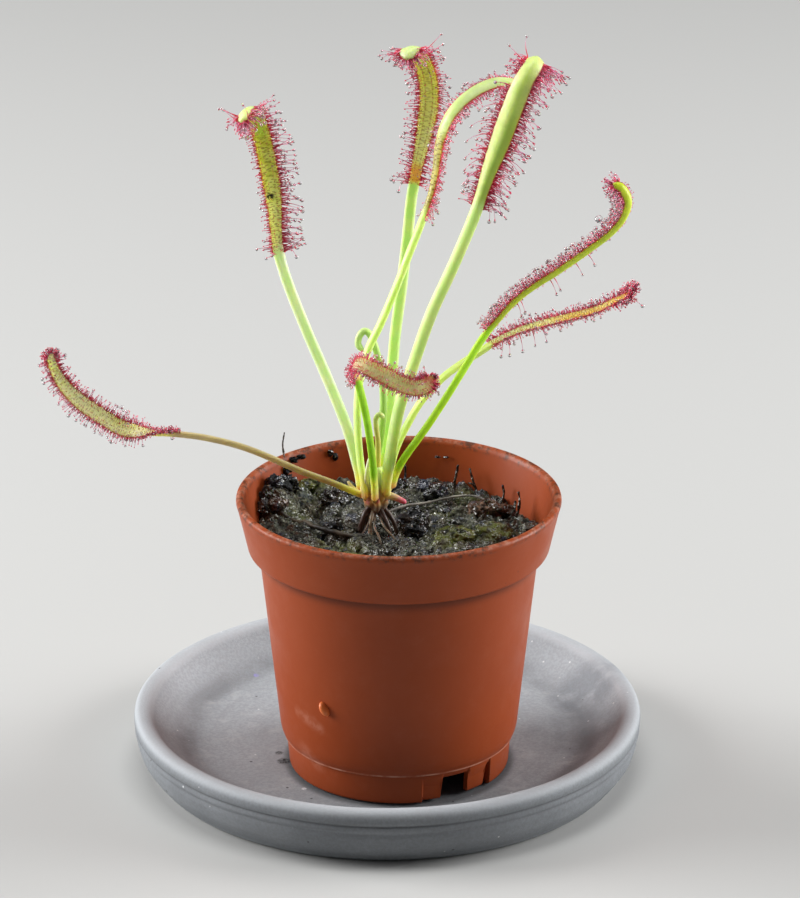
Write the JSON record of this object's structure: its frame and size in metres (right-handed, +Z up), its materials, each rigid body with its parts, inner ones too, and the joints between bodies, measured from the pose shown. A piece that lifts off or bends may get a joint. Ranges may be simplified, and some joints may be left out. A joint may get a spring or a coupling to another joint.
{
  "type": "potted sundew",
  "caption": "Small carnivorous sundew with long sticky upright leaves, in wet peat in a terracotta-coloured plastic pot that stands in a grey clay saucer.",
  "frame": {"origin": "centre of the saucer's flat underside", "axes": "+Z up, -Y towards the front, where the pot stands off the saucer's centre; +X to the right seen from the front"},
  "size_m": [0.1025, 0.0876, 0.1324],
  "materials": {
    "clay": "unglazed, matt, light grey",
    "pot_plastic": "moulded, satin, terracotta colour",
    "peat": "wet, dark, fibrous",
    "stem": "plant tissue, satin",
    "leaf": "living leaf, satin",
    "young_leaf": "young leaf, satin",
    "tentacle": "red stalked gland, moist",
    "dew": "clear sticky drop"
  },
  "bodies": {
    "root": {"saucer": "clay", "pot": "pot_plastic", "soil": "peat", "crown": "stem", "leaf_1": "leaf", "leaf_2": "leaf", "leaf_3": "leaf", "leaf_4": "leaf", "leaf_5": "leaf", "leaf_6": "leaf", "leaf_7": "leaf", "leaf_8": "leaf", "young_leaf_1": "young_leaf", "young_leaf_2": "young_leaf", "stub_leaf": "young_leaf"}
  },
  "joints": []
}
